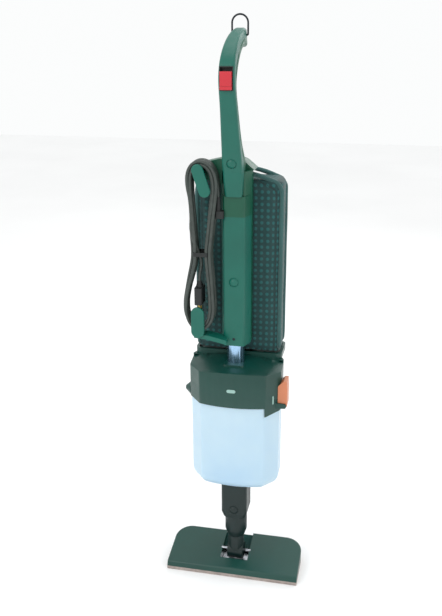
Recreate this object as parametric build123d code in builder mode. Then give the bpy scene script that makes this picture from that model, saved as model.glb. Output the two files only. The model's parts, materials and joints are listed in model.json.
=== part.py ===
"""Upright stick vacuum cleaner: nozzle, swivel neck, motor housing, stick with cloth bag, curved handle.

Millimetres, +Z up. The origin is the centre of the nozzle's sole, on the floor. -Y is the front, where the
switch, the release buttons and the cord hooks are; the user stands at +Y. +X is the latch side.
"""
import math
import os

from build123d import *

os.makedirs("parts", exist_ok=True)

# ---------------------------------------------------------------- driving dimensions
WALL = 2.5  # plastic shells
FIT_GAP = 0.3  # between pieces that are assembled into each other
RUN_GAP = 0.05  # radial, between a shaft and its bore
UP = (Align.CENTER, Align.CENTER, Align.MIN)

# floor nozzle
NOZZLE_W = 285.0
NOZZLE_D = 112.0
SOLE_H = 8.0  # pale bumper round the sole
LIP_Z = 19.0  # top of the shell's front face
LIP_RUN = 4.0  # how far the front face leans back
LIP_R = 7.0  # rounding where the front face meets the top
REAR_Z = 39.0  # top of the shell's rear edge
NOZZLE_CORNER_R = 36.0  # the two rear corners
BUMPER_W = 10.0
SOLE_PLATE_T = 5.0
MOUTH_HALF_W = 108.0
MOUTH_Y = (-41.0, -27.0)
SLOT_HALF_W = 30.0  # recess that the neck tilts in
SLOT_Y = (-24.0, 28.0)
RAMP_Z = (15.0, 34.0)  # its rear floor, at the slot and past the rear edge

# neck
HINGE_Y = 5.0
HINGE_Z = 28.0
PIN_R = 3.0
DRUM_R = 18.5
ELBOW_R = 17.0
ELBOW_WALL = 2.5
ELBOW_TOP_Z = 116.0
COLLAR_R = 23.5
COLLAR_Z = (72.0, 88.0, 126.0)  # bottom, end of the cone, top
SOCKET_W = 55.0
SOCKET_FOOT_W = 48.0
SOCKET_Z = (126.0, 140.0, 214.0)
SOCKET_BORE_R = 20.5

# release buttons, all three alike
BUTTON_R = 9.0
BUTTON_DOME = 5.0
BUTTON_TRAVEL = 3.0
BUTTON_FLANGE_R = 11.0
BUTTON_FLANGE_T = 1.5
NECK_BUTTON_Z = 148.0
STICK_BUTTON_Z = 660.0
HANDLE_BUTTON_Z = 891.0

# motor housing
FRONT_HALF_W = 65.0
FRONT_Y = -37.0
FRONT_BOW = 9.0
HOUSING_HALF_W = 91.0
SIDE_Y = (-6.0, 28.0)  # the widest stretch
REAR_HALF_W = 60.0
REAR_Y = 88.0
REAR_BOW = 7.0
HOUSING_CORNER_R = 7.0
LOWER_Z = 210.0
LOWER_FOOT_R = 28.0
LOWER_TOP_Z = 432.0  # hidden inside the upper housing
UPPER_Z = 405.0  # lower edge of the upper housing
SKIRT_Z = 386.0  # the latch side's skirt drops lower
SKIRT_RISE = 8.0
ROOF_FRONT_Z = 482.0  # middle of the roof's front edge
ROOF_SLOPE = 0.18
ROOF_CROWN = 12.5
SEAT_Z = 486.0  # flat the bag's collar stands on
SEAT_FRONT_Y = 24.0

# motor and fan
MOTOR_Y = 24.0
SHAFT_R = 4.0
FAN_CASE_R = 57.0
FAN_CASE_Z = (236.0, 270.0)
FAN_CASE_T = 2.0
IMPELLER_R = 50.0
IMPELLER_H = 18.0
BLADES = 9
CAN_R = 41.0
CAN_Z = (277.0, 372.0)
STATOR_INNER_R = 24.5
AIR_GAP = 0.6
CORE_Z = (296.0, 340.0)
COMMUTATOR_R = 11.0
COMMUTATOR_Z = (352.0, 366.0)
BEARING_R = 11.0
BEARING_H = 8.0
DUCT_HALF_W = 26.0
DUCT_Y = (66.5, 82.0)

# stick
TUBE_R = 17.0
TUBE_WALL = 1.2
TUBE_Y = 3.0
TUBE_Z = (440.0, 800.0)
STICK_FRONT_HALF_W = 20.0
STICK_HALF_W = 29.0
STICK_Y = (-20.0, 7.0, 24.0)  # front face, joint of the two shells, rear face
STICK_Z = (528.0, 788.0)
STEM_TOP_Z = 872.0
STEM_STEP_Z = 827.0  # above it the handle's tongue lies over the stem
STEM_STEP = 6.0
COVER_SCREW_Z = 542.0

# handle: stations from the stem to the grip's end, (outer point, inner point), each (y, z)
HANDLE = (
    ((-33.0, 872.0), (7.5, 872.0)),
    ((-43.0, 898.0), (0.0, 897.0)),
    ((-51.0, 924.0), (-19.0, 922.0)),
    ((-60.0, 952.0), (-33.0, 948.0)),
    ((-74.0, 1000.0), (-52.0, 996.0)),
    ((-86.0, 1043.0), (-61.0, 1032.0)),
    ((-78.0, 1070.0), (-50.0, 1052.0)),
    ((-52.0, 1094.0), (-30.0, 1070.0)),
    ((-10.0, 1112.0), (-5.0, 1083.0)),
    ((48.0, 1121.0), (48.0, 1086.0)),
)
HANDLE_SPLIT = 0.5
HANDLE_EDGE_R = 6.0
SCREW_R = 3.0
SOLE_SCREWS = ((-118.0, -14.0), (118.0, -14.0), (-118.0, 30.0), (118.0, 30.0))
HANDLE_SCREWS = ((0.0, 936.0, -26.2), (0.0, 1012.0, -54.6))  # x, z and the rear surface's y
# half width of the handle at heights
HANDLE_WIDTHS = ((15.5, 827.0), (18.5, 872.0), (18.0, 900.0), (16.3, 950.0), (14.6, 1025.0), (14.0, 1060.0),
                 (11.0, 1122.0))
SWITCH_Z = (1022.0, 1062.0)
SWITCH_Y = (-87.5, -72.0)
SWITCH_HALF_W = 12.0
SWITCH_RIM = 1.6
SLIDER_H = 30.0
SLIDER_TRAVEL = 4.0

# hanging loop
LOOP_Y = 40.0
LOOP_Z = 1108.0
LOOP_R = 1.7
LOOP_HALF_W = 14.6
LOOP_BEND_R = 2.4
LOOP_TOP_Z = 1145.0

# bag
BAG_Y = (26.0, 94.0)
BAG_Z = (499.0, 869.0)
BAG_HALF_W = 88.0
BAG_ARCH = 19.0
BAG_EDGE_R = 12.0
CLOTH_T = 3.0
BAG_COLLAR_Z = (486.0, 498.5)
CAP_HALF_W = 34.0
CAP_TOP_Z = 891.0
CAP_Y = (8.0, 46.0)

# latch
LATCH_Y = (-14.0, 16.0)
LATCH_PIVOT = (101.5, 403.0)
LATCH_TOP_Z = 456.0
LATCH_OUT_X = 107.5
LATCH_PIN_R = 2.0
EAR_T = 3.5

# cord and its hooks
CORD_R = 3.3
HOOK_PIVOT = (-62.0, 870.0)
HOOK_TILT = 18.4  # degrees that the upper plate leans
HOOK_PLATE = (63.0, 22.0, 5.0)
STUB_R = 7.0
HANK_Y = (-35.0, -8.5)
HOOK_SHAFT_R = 4.0
BRACKET_Y = (-7.5, 15.0)
LOWER_HOOK = (-68.0, 579.5)
LOWER_PLATE = (63.0, 26.0, 5.0)
ARM_TOP_Z = 553.0
ARM_H = 9.0


# ---------------------------------------------------------------- shared forms
def nozzle_plan(inset):
    """The nozzle seen from above: square front corners, round rear ones."""
    half = NOZZLE_W / 2 - inset
    depth = NOZZLE_D / 2 - inset
    with BuildSketch() as plan:
        Rectangle(2 * half, 2 * depth)
        fillet(plan.vertices().sort_by(Axis.Y)[-2:], NOZZLE_CORNER_R - inset)
    return plan.sketch


def nozzle_block(inset, floor_z, drop):
    """The nozzle's upper form: a wedge that rises to the rear."""
    half_d = NOZZLE_D / 2
    with BuildPart() as block:
        with BuildSketch(Plane.XY.offset(floor_z)):
            add(nozzle_plan(inset))
        extrude(amount=REAR_Z)
        with BuildSketch(Plane.YZ.offset(-NOZZLE_W)) as side:
            Polygon(
                (-half_d - 1, floor_z - 1),
                (half_d + 1, floor_z - 1),
                (half_d + 1, REAR_Z - drop),
                (-half_d + LIP_RUN + inset, LIP_Z - drop),
                (-half_d + inset, SOLE_H),
                (-half_d + inset, floor_z - 1),
                align=None,
            )
            lip = side.vertices().sort_by_distance((-half_d + LIP_RUN + inset, LIP_Z - drop))[0]
            fillet(lip, LIP_R - inset)
        extrude(amount=2 * NOZZLE_W, mode=Mode.INTERSECT)
    return block.part


def neck_recess(grow):
    """The space the neck tilts in: a slot, and a ramp behind it that is open to the rear."""
    with BuildPart() as recess:
        with BuildSketch(Plane.YZ.offset(-SLOT_HALF_W - grow)):
            Polygon(
                (SLOT_Y[0] - grow, 2 * REAR_Z),
                (SLOT_Y[0] - grow, 0),
                (SLOT_Y[1] + grow, 0),
                (SLOT_Y[1] + grow, RAMP_Z[0] - grow),
                (NOZZLE_D / 2 + 4, RAMP_Z[1] - grow),
                (NOZZLE_D / 2 + 4, 2 * REAR_Z),
                align=None,
            )
        extrude(amount=2 * (SLOT_HALF_W + grow))
    return recess.part


def housing_plan(grow):
    """The housing seen from above: bowed front, slanted facets, straight sides, bowed rear."""
    with BuildSketch() as plan:
        with BuildLine():
            ThreePointArc((-FRONT_HALF_W, FRONT_Y), (0, FRONT_Y - FRONT_BOW), (FRONT_HALF_W, FRONT_Y))
            Polyline((FRONT_HALF_W, FRONT_Y), (HOUSING_HALF_W, SIDE_Y[0]), (HOUSING_HALF_W, SIDE_Y[1]),
                     (REAR_HALF_W, REAR_Y))
            ThreePointArc((REAR_HALF_W, REAR_Y), (0, REAR_Y + REAR_BOW), (-REAR_HALF_W, REAR_Y))
            Polyline((-REAR_HALF_W, REAR_Y), (-HOUSING_HALF_W, SIDE_Y[1]), (-HOUSING_HALF_W, SIDE_Y[0]),
                     (-FRONT_HALF_W, FRONT_Y))
        make_face()
        fillet(plan.vertices(), HOUSING_CORNER_R)
        if grow:
            offset(amount=grow, mode=Mode.REPLACE)
    return plan.sketch


def housing_block(grow, bottom_z, top_z, foot_r=0):
    with BuildPart() as block:
        with BuildSketch(Plane.XY.offset(bottom_z)):
            add(housing_plan(grow))
        extrude(amount=top_z - bottom_z)
        if foot_r:
            fillet(block.faces().sort_by(Axis.Z)[0].edges(), foot_r)
    return block.part


def above_roof(drop):
    """Everything above the roof: a crowned slope in front, and the flat seat of the bag behind."""
    reach = HOUSING_HALF_W + 10
    edge_z = ROOF_FRONT_Z - drop - ROOF_CROWN * (reach / HOUSING_HALF_W) ** 2
    start_y = FRONT_Y - FRONT_BOW - 10
    start_drop = ROOF_SLOPE * (start_y - FRONT_Y)
    run = SEAT_FRONT_Y - start_y
    with BuildPart() as space:
        with BuildSketch(Plane.XZ.offset(-start_y)):
            with BuildLine():
                ThreePointArc((-reach, edge_z + start_drop), (0, ROOF_FRONT_Z - drop + start_drop),
                              (reach, edge_z + start_drop))
                Polyline((reach, edge_z + start_drop), (reach, ROOF_FRONT_Z + 60),
                         (-reach, ROOF_FRONT_Z + 60), (-reach, edge_z + start_drop))
            make_face()
        extrude(amount=(run + 1) * math.hypot(1, ROOF_SLOPE), dir=(0, 1, ROOF_SLOPE))
        with Locations((0, SEAT_FRONT_Y - 0.01, SEAT_Z - drop)):
            Box(2 * reach, 2 * REAR_Y, 60, align=(Align.CENTER, Align.MIN, Align.MIN))
    return space.part


def stick_block(bottom_z, top_z, inset, front_y=STICK_Y[0]):
    """A length of the stick: a narrow front face, slanted sides, a straight rear."""
    with BuildPart() as block:
        with BuildSketch(Plane.XY.offset(bottom_z)) as section:
            Polygon(
                (-STICK_FRONT_HALF_W + inset, front_y + inset),
                (STICK_FRONT_HALF_W - inset, front_y + inset),
                (STICK_HALF_W - inset, STICK_Y[1]),
                (STICK_HALF_W - inset, STICK_Y[2] - inset),
                (-STICK_HALF_W + inset, STICK_Y[2] - inset),
                (-STICK_HALF_W + inset, STICK_Y[1]),
                align=None,
            )
            fillet(section.vertices().sort_by(Axis.Y)[:2], 5 - inset)
        extrude(amount=top_z - bottom_z)
    return block.part


def handle_line(share):
    """The handle's side view, from its front line (0) to its rear line (1)."""
    points = []
    for (y0, z0), (y1, z1) in HANDLE:
        points.append((y0 + share * (y1 - y0), z0 + share * (z1 - z0)))
    return points


def handle_taper(inset):
    """The handle's front view, as a prism along Y."""
    right = [(half - inset, z) for half, z in HANDLE_WIDTHS]
    left = [(-x, z) for x, z in right]
    with BuildPart() as prism:
        with BuildSketch(Plane.XZ.offset(-200)):
            with BuildLine():
                Spline(*right)
                Line(right[-1], left[-1])
                Spline(*left[::-1])
                Line(left[0], right[0])
            make_face()
        extrude(amount=400)
    return prism.part


def handle_slice(front_share, rear_share, half_w, stations=len(HANDLE)):
    """The handle between two of its lines, as wide as asked, up to one of its stations."""
    front = handle_line(front_share)[:stations]
    rear = handle_line(rear_share)[:stations]
    with BuildPart() as block:
        with BuildSketch(Plane.YZ.offset(-half_w)):
            with BuildLine():
                Spline(*front)
                Line(front[-1], rear[-1])
                Spline(*rear[::-1])
                Line(rear[0], front[0])
            make_face()
        extrude(amount=2 * half_w)
    return block.part


def bag_block(inset):
    """The bag's form: upright sides and an arched top."""
    half = BAG_HALF_W - inset
    shoulder_z = BAG_Z[1] - BAG_ARCH - inset
    with BuildPart() as block:
        with BuildSketch(Plane.XZ.offset(-BAG_Y[0] - inset)):
            with BuildLine():
                ThreePointArc((-half, shoulder_z), (0, BAG_Z[1] - inset), (half, shoulder_z))
                Polyline((half, shoulder_z), (half, BAG_Z[0]), (-half, BAG_Z[0]), (-half, shoulder_z))
            make_face()
        extrude(amount=-(BAG_Y[1] - BAG_Y[0] - 2 * inset))
        fillet(block.edges().filter_by(Axis.Z), BAG_EDGE_R - inset)
    return block.part


def spun(radius, bottom_z, top_z, x=0.0, y=0.0):
    """A plain upright cylinder."""
    with BuildPart() as block:
        with Locations((x, y, bottom_z)):
            Cylinder(radius, top_z - bottom_z, align=UP)
    return block.part


# ---------------------------------------------------------------- floor nozzle
with BuildPart() as nozzle_cavity:
    add(nozzle_block(WALL, SOLE_H - 2, WALL))
    add(neck_recess(WALL), mode=Mode.SUBTRACT)

with BuildPart() as nozzle_shell:
    add(nozzle_block(0, SOLE_H, 0))
    top_face = nozzle_shell.faces().filter_by(lambda f: f.normal_at().Z > 0.9)
    fillet(top_face.edges(), 2.2)
    add(neck_recess(0), mode=Mode.SUBTRACT)
    add(nozzle_cavity.part, mode=Mode.SUBTRACT)
    with Locations(Location((0, HINGE_Y, HINGE_Z), (0, 90, 0))):
        Cylinder(PIN_R, 2 * (SLOT_HALF_W + WALL), mode=Mode.SUBTRACT)

with BuildPart() as sole_bumper:
    with BuildSketch():
        add(nozzle_plan(0))
        add(nozzle_plan(BUMPER_W), mode=Mode.SUBTRACT)
    extrude(amount=SOLE_H)

with BuildPart() as sole_plate:
    with BuildSketch():
        add(nozzle_plan(BUMPER_W + RUN_GAP))
        with Locations((0, sum(MOUTH_Y) / 2)):
            SlotOverall(2 * MOUTH_HALF_W, MOUTH_Y[1] - MOUTH_Y[0], mode=Mode.SUBTRACT)
    extrude(amount=SOLE_PLATE_T)
    with Locations((0, 12, 0), (0, 30, 0)):
        Box(2 * MOUTH_HALF_W, 6 + 2 * RUN_GAP, 1.5, align=UP, mode=Mode.SUBTRACT)
    with Locations(*SOLE_SCREWS):
        Cylinder(SCREW_R, 2.5, align=UP, mode=Mode.SUBTRACT)

with BuildPart() as nozzle_screws:
    for x, y in SOLE_SCREWS:
        with Locations((x, y, 1)):
            Cylinder(SCREW_R, 1.5, align=UP)
            Box(4, 0.8, 0.7, align=UP, mode=Mode.SUBTRACT)

with BuildPart() as lint_strips:
    with Locations((0, 12, 0), (0, 30, 0)):
        Box(2 * MOUTH_HALF_W - 2 * RUN_GAP, 6, 1.5 - RUN_GAP, align=UP)

with BuildPart() as hinge_pins:
    for side in (-1, 1):
        pin_x = side * (SLOT_HALF_W + WALL + DRUM_R - 4) / 2
        with Locations(Location((pin_x, HINGE_Y, HINGE_Z), (0, 90, 0))):
            Cylinder(PIN_R, SLOT_HALF_W + WALL - DRUM_R + 4)

# ---------------------------------------------------------------- neck
with BuildPart() as swivel_elbow:
    with Locations(Location((0, HINGE_Y, HINGE_Z), (0, 90, 0))):
        Cylinder(DRUM_R, 2 * ELBOW_R)
    add(spun(ELBOW_R, HINGE_Z, ELBOW_TOP_Z, y=HINGE_Y))
    add(spun(ELBOW_R - ELBOW_WALL, HINGE_Z - DRUM_R - 1, ELBOW_TOP_Z, y=HINGE_Y), mode=Mode.SUBTRACT)
    with Locations(Location((0, HINGE_Y, HINGE_Z), (0, 90, 0))):
        Cylinder(PIN_R + RUN_GAP, 4 * ELBOW_R, mode=Mode.SUBTRACT)

with BuildPart() as neck_collar:
    with Locations((0, HINGE_Y, COLLAR_Z[0])):
        Cone(ELBOW_R + 1.5, COLLAR_R, COLLAR_Z[1] - COLLAR_Z[0], align=UP)
    add(spun(COLLAR_R, COLLAR_Z[1], COLLAR_Z[2], y=HINGE_Y))
    add(spun(ELBOW_R + RUN_GAP, COLLAR_Z[0], COLLAR_Z[2], y=HINGE_Y), mode=Mode.SUBTRACT)

with BuildPart() as neck_socket:
    foot = BuildSketch(Plane.XY.offset(SOCKET_Z[0]))
    with foot:
        with Locations((0, HINGE_Y)):
            RectangleRounded(SOCKET_FOOT_W, SOCKET_FOOT_W, 9)
    shoulder = BuildSketch(Plane.XY.offset(SOCKET_Z[1]))
    with shoulder:
        with Locations((0, HINGE_Y)):
            RectangleRounded(SOCKET_W, SOCKET_W, 7)
    loft([foot.sketch, shoulder.sketch], ruled=True)
    extrude(shoulder.sketch, amount=SOCKET_Z[2] - SOCKET_Z[1])
    add(spun(SOCKET_BORE_R, SOCKET_Z[0], SOCKET_Z[2], y=HINGE_Y), mode=Mode.SUBTRACT)
    with Locations(Location((0, HINGE_Y - SOCKET_W / 2, NECK_BUTTON_Z), (90, 0, 0))):
        Cylinder(BUTTON_R + FIT_GAP, 4 * WALL, mode=Mode.SUBTRACT)
    with Locations(Location((0, HINGE_Y - SOCKET_W / 2 + WALL, NECK_BUTTON_Z), (-90, 0, 0))):
        Cylinder(BUTTON_FLANGE_R + FIT_GAP, SOCKET_W / 2 - WALL, align=UP, mode=Mode.SUBTRACT)


def release_button(face):
    """A domed button on a plane that lies on the outer surface, with its flange behind the wall."""
    top = -WALL - FIT_GAP
    bottom = top - BUTTON_FLANGE_T
    dome_r = (BUTTON_R ** 2 + BUTTON_DOME ** 2) / (2 * BUTTON_DOME)
    mid_x = 0.6 * BUTTON_R
    mid_y = BUTTON_DOME - dome_r + math.sqrt(dome_r ** 2 - mid_x ** 2)
    with BuildPart() as button:
        with BuildSketch(Plane(face.origin, x_dir=face.x_dir, z_dir=face.x_dir.cross(face.z_dir))):
            with BuildLine():
                Polyline((0, BUTTON_DOME), (0, bottom), (BUTTON_FLANGE_R, bottom), (BUTTON_FLANGE_R, top),
                         (BUTTON_R, top), (BUTTON_R, 0))
                ThreePointArc((BUTTON_R, 0), (mid_x, mid_y), (0, BUTTON_DOME))
            make_face()
        revolve(axis=Axis(face.origin, face.z_dir))
    return button.part


def button_spring(face):
    """A bent leaf spring that starts where the pressed button stops."""
    depth = WALL + FIT_GAP + BUTTON_FLANGE_T + BUTTON_TRAVEL + FIT_GAP
    with BuildPart(face) as spring:
        with Locations((0, 0, -depth - 0.6)):
            Box(8, 18, 0.6, align=UP)
    return spring.part


NECK_FACE = Plane((0, HINGE_Y - SOCKET_W / 2, NECK_BUTTON_Z), x_dir=(1, 0, 0), z_dir=(0, -1, 0))
STICK_FACE = Plane((0, STICK_Y[0], STICK_BUTTON_Z), x_dir=(1, 0, 0), z_dir=(0, -1, 0))
HANDLE_LEAN = math.atan2(HANDLE[0][0][0] - HANDLE[2][0][0], HANDLE[2][0][1] - HANDLE[0][0][1])
HANDLE_FACE_Y = HANDLE[0][0][0] - math.tan(HANDLE_LEAN) * (HANDLE_BUTTON_Z - HANDLE[0][0][1])
HANDLE_FACE = Plane((0, HANDLE_FACE_Y, HANDLE_BUTTON_Z), x_dir=(1, 0, 0),
                    z_dir=(0, -math.cos(HANDLE_LEAN), -math.sin(HANDLE_LEAN)))

with BuildPart() as neck_button:
    add(release_button(NECK_FACE))
with BuildPart() as stick_button:
    add(release_button(STICK_FACE))
with BuildPart() as handle_button:
    add(release_button(HANDLE_FACE))

with BuildPart() as button_springs:
    for face in (NECK_FACE, STICK_FACE, HANDLE_FACE):
        add(button_spring(face))

# ---------------------------------------------------------------- motor housing
with BuildPart() as lower_housing:
    add(housing_block(0, LOWER_Z, LOWER_TOP_Z, LOWER_FOOT_R))
    add(housing_block(-WALL, LOWER_Z + WALL, LOWER_TOP_Z, LOWER_FOOT_R - WALL), mode=Mode.SUBTRACT)
    with BuildSketch(Plane.XY.offset(LOWER_Z - 1)):
        with Locations((0, HINGE_Y)):
            RectangleRounded(SOCKET_W, SOCKET_W, 7)
    extrude(amount=WALL + 3, mode=Mode.SUBTRACT)
    with BuildSketch(Plane.XZ.offset(-REAR_Y + 12)):
        with GridLocations(9, 0, 9, 1):
            with Locations((0, 345)):
                SlotOverall(44, 4, rotation=90)
    extrude(amount=-30, mode=Mode.SUBTRACT)

with BuildPart() as upper_cavity:
    add(housing_block(FIT_GAP, SKIRT_Z - 5, ROOF_FRONT_Z + 30))
    add(above_roof(WALL), mode=Mode.SUBTRACT)

with BuildPart() as upper_housing:
    add(housing_block(WALL + FIT_GAP, SKIRT_Z, ROOF_FRONT_Z + 30))
    add(above_roof(0), mode=Mode.SUBTRACT)
    skirt_x = FRONT_HALF_W + 1
    with Locations((skirt_x, 0, SKIRT_Z - 1)):
        Box(3 * HOUSING_HALF_W, 4 * REAR_Y, UPPER_Z - SKIRT_Z + 1,
            align=(Align.MAX, Align.CENTER, Align.MIN), mode=Mode.SUBTRACT)
    with BuildSketch(Plane.YZ.offset(skirt_x - 1)):
        Polygon((FRONT_Y - 20, SKIRT_Z - 2), (FRONT_Y, SKIRT_Z), (SIDE_Y[1], SKIRT_Z + SKIRT_RISE),
                (REAR_Y + 20, UPPER_Z), (REAR_Y + 20, SKIRT_Z - 2), align=None)
    extrude(amount=HOUSING_HALF_W, mode=Mode.SUBTRACT)
    with BuildSketch(Plane.XY.offset(ROOF_FRONT_Z - 12)):
        with Locations((0, TUBE_Y - 8)):
            RectangleRounded(2 * STICK_FRONT_HALF_W, 40, 4)
    extrude(amount=18)
    add(upper_cavity.part, mode=Mode.SUBTRACT)
    add(spun(TUBE_R + RUN_GAP, SKIRT_Z, ROOF_FRONT_Z + 40, y=TUBE_Y), mode=Mode.SUBTRACT)
    with BuildSketch(Plane.XY.offset(SEAT_Z - 3 * WALL)):
        with Locations((0, sum(DUCT_Y) / 2)):
            Rectangle(2 * DUCT_HALF_W + 2 * FIT_GAP, DUCT_Y[1] - DUCT_Y[0] + 2 * FIT_GAP)
    extrude(amount=6 * WALL, mode=Mode.SUBTRACT)

with BuildPart() as front_badge:
    with BuildSketch(Plane.XZ.offset(-FRONT_Y + FRONT_BOW + WALL + FIT_GAP)):
        with Locations((0, 442)):
            SlotOverall(18, 7)
    extrude(amount=0.8)

facet_dir = Vector(HOUSING_HALF_W - FRONT_HALF_W, SIDE_Y[0] - FRONT_Y, 0).normalized()
facet_out = Vector(facet_dir.Y, -facet_dir.X, 0)
facet_mid = Vector((HOUSING_HALF_W + FRONT_HALF_W) / 2, (SIDE_Y[0] + FRONT_Y) / 2, 0)
facet_spot = facet_mid + facet_out * (WALL + FIT_GAP) + Vector(0, 0, 418)
with BuildPart() as lock_mark:
    with BuildSketch(Plane(facet_spot, x_dir=facet_dir, z_dir=facet_out)):
        SlotOverall(18, 3.2, rotation=90)
    extrude(amount=1.0)

with BuildPart() as badges:
    add(front_badge.part)
    add(lock_mark.part)

with BuildPart() as side_knob:
    knob_y = (SIDE_Y[0] + SIDE_Y[1]) / 2 - 2
    with Locations(Location((-HOUSING_HALF_W - WALL - FIT_GAP, knob_y, 415), (0, -90, 0))):
        Cone(16, 4, 13, align=UP)
    fillet(side_knob.edges().sort_by(Axis.X)[0], 2)

# ---------------------------------------------------------------- latch
with BuildPart() as latch_lever:
    with BuildSketch(Plane.XZ.offset(-LATCH_Y[0])):
        Polygon((84, LATCH_PIVOT[1]), (84, 440), (100, LATCH_TOP_Z), (LATCH_OUT_X - 1, LATCH_TOP_Z),
                (LATCH_OUT_X, 440), (LATCH_OUT_X, LATCH_PIVOT[1]), align=None)
        with Locations(LATCH_PIVOT):
            Circle(LATCH_OUT_X - LATCH_PIVOT[0])
    extrude(amount=-(LATCH_Y[1] - LATCH_Y[0]))
    add(housing_block(WALL + 3 * FIT_GAP, SKIRT_Z, ROOF_FRONT_Z), mode=Mode.SUBTRACT)
    fillet(latch_lever.faces().sort_by(Axis.X)[-1].edges().filter_by(Axis.Z), 2)
    with Locations(Location((LATCH_PIVOT[0], 0, LATCH_PIVOT[1]), (90, 0, 0))):
        Cylinder(LATCH_PIN_R + RUN_GAP, 200, mode=Mode.SUBTRACT)

ear_starts = (LATCH_Y[0] - FIT_GAP - EAR_T, LATCH_Y[1] + FIT_GAP)
with BuildPart() as latch_bracket:
    for ear_y in ear_starts:
        with BuildSketch(Plane.XZ.offset(-ear_y)):
            with BuildLine():
                Polyline((84, LATCH_PIVOT[1] - 6), (LATCH_PIVOT[0], LATCH_PIVOT[1] - 5))
                ThreePointArc((LATCH_PIVOT[0], LATCH_PIVOT[1] - 5), (LATCH_PIVOT[0] + 5, LATCH_PIVOT[1]),
                              (LATCH_PIVOT[0], LATCH_PIVOT[1] + 5))
                Polyline((LATCH_PIVOT[0], LATCH_PIVOT[1] + 5), (84, LATCH_PIVOT[1] + 6),
                         (84, LATCH_PIVOT[1] - 6))
            make_face()
        extrude(amount=-EAR_T)
    add(housing_block(WALL + FIT_GAP, SKIRT_Z - 5, ROOF_FRONT_Z), mode=Mode.SUBTRACT)
    with Locations(Location((LATCH_PIVOT[0], sum(LATCH_Y) / 2, LATCH_PIVOT[1]), (90, 0, 0))):
        Cylinder(LATCH_PIN_R, LATCH_Y[1] - LATCH_Y[0] + 2 * EAR_T + 2 * FIT_GAP)

# ---------------------------------------------------------------- fan
fan_floor_z = FAN_CASE_Z[0] + FAN_CASE_T
with BuildPart() as inlet_duct:
    low = BuildSketch(Plane.XY.offset(SOCKET_Z[2]))
    with low:
        with Locations((0, HINGE_Y)):
            Circle(SOCKET_BORE_R + 2)
    high = BuildSketch(Plane.XY.offset(FAN_CASE_Z[0]))
    with high:
        with Locations((0, MOTOR_Y)):
            Circle(SOCKET_BORE_R + 2)
    loft([low.sketch, high.sketch], ruled=True)
    low_bore = BuildSketch(Plane.XY.offset(SOCKET_Z[2]))
    with low_bore:
        with Locations((0, HINGE_Y)):
            Circle(SOCKET_BORE_R)
    high_bore = BuildSketch(Plane.XY.offset(FAN_CASE_Z[0]))
    with high_bore:
        with Locations((0, MOTOR_Y)):
            Circle(SOCKET_BORE_R)
    loft([low_bore.sketch, high_bore.sketch], ruled=True, mode=Mode.SUBTRACT)

with BuildPart() as fan_case:
    add(spun(FAN_CASE_R, FAN_CASE_Z[0], FAN_CASE_Z[1], y=MOTOR_Y))
    add(spun(FAN_CASE_R - FAN_CASE_T, fan_floor_z, FAN_CASE_Z[1] - FAN_CASE_T, y=MOTOR_Y),
        mode=Mode.SUBTRACT)
    add(spun(SOCKET_BORE_R, FAN_CASE_Z[0] - 1, fan_floor_z + 1, y=MOTOR_Y), mode=Mode.SUBTRACT)
    add(spun(SHAFT_R + 2, FAN_CASE_Z[1] - FAN_CASE_T - 1, FAN_CASE_Z[1] + 1, y=MOTOR_Y), mode=Mode.SUBTRACT)
    with Locations((0, DUCT_Y[0] + FAN_CASE_T, FAN_CASE_Z[1] - FAN_CASE_T - 1)):
        Box(2 * DUCT_HALF_W - 8, 8, 4, align=(Align.CENTER, Align.MIN, Align.MIN), mode=Mode.SUBTRACT)

with BuildPart() as exhaust_duct:
    with BuildSketch(Plane.XY.offset(FAN_CASE_Z[1])):
        with Locations((0, sum(DUCT_Y) / 2)):
            Rectangle(2 * DUCT_HALF_W, DUCT_Y[1] - DUCT_Y[0])
            Rectangle(2 * DUCT_HALF_W - 4, DUCT_Y[1] - DUCT_Y[0] - 4, mode=Mode.SUBTRACT)
    extrude(amount=BAG_COLLAR_Z[1] - FAN_CASE_Z[1])

impeller_z = fan_floor_z + 6
with BuildPart() as impeller:
    add(spun(IMPELLER_R, impeller_z + IMPELLER_H - 2, impeller_z + IMPELLER_H, y=MOTOR_Y))
    add(spun(10, impeller_z, impeller_z + IMPELLER_H, y=MOTOR_Y))
    with Locations((0, MOTOR_Y, impeller_z)):
        with PolarLocations(0, BLADES):
            with Locations(Location((28, 6, 0), (0, 0, 28))):
                Box(38, 1.6, IMPELLER_H - 1, align=UP)
    add(spun(SHAFT_R, impeller_z - 1, impeller_z + IMPELLER_H + 1, y=MOTOR_Y), mode=Mode.SUBTRACT)

# ---------------------------------------------------------------- motor
core_r = STATOR_INNER_R - AIR_GAP
with BuildPart() as motor_shaft:
    add(spun(SHAFT_R, impeller_z - 4, CAN_Z[1] + BEARING_H, y=MOTOR_Y))

with BuildPart() as armature:
    add(spun(core_r, *CORE_Z, y=MOTOR_Y))
    with Locations((0, MOTOR_Y, CORE_Z[0])):
        with PolarLocations(core_r, 12):
            Box(8, 2.4, CORE_Z[1] - CORE_Z[0], align=UP, mode=Mode.SUBTRACT)
    add(spun(SHAFT_R, CORE_Z[0] - 1, CORE_Z[1] + 1, y=MOTOR_Y), mode=Mode.SUBTRACT)

with BuildPart() as armature_windings:
    for bottom_z, top_z in ((CORE_Z[0] - 9, CORE_Z[0]), (CORE_Z[1], CORE_Z[1] + 9)):
        add(spun(core_r - 3, bottom_z, top_z, y=MOTOR_Y))
    fillet(armature_windings.edges().filter_by(GeomType.CIRCLE), 3)
    add(spun(SHAFT_R, CORE_Z[0] - 10, CORE_Z[1] + 10, y=MOTOR_Y), mode=Mode.SUBTRACT)

with BuildPart() as commutator:
    add(spun(COMMUTATOR_R, *COMMUTATOR_Z, y=MOTOR_Y))
    add(spun(SHAFT_R, COMMUTATOR_Z[0] - 1, COMMUTATOR_Z[1] + 1, y=MOTOR_Y), mode=Mode.SUBTRACT)

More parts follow.
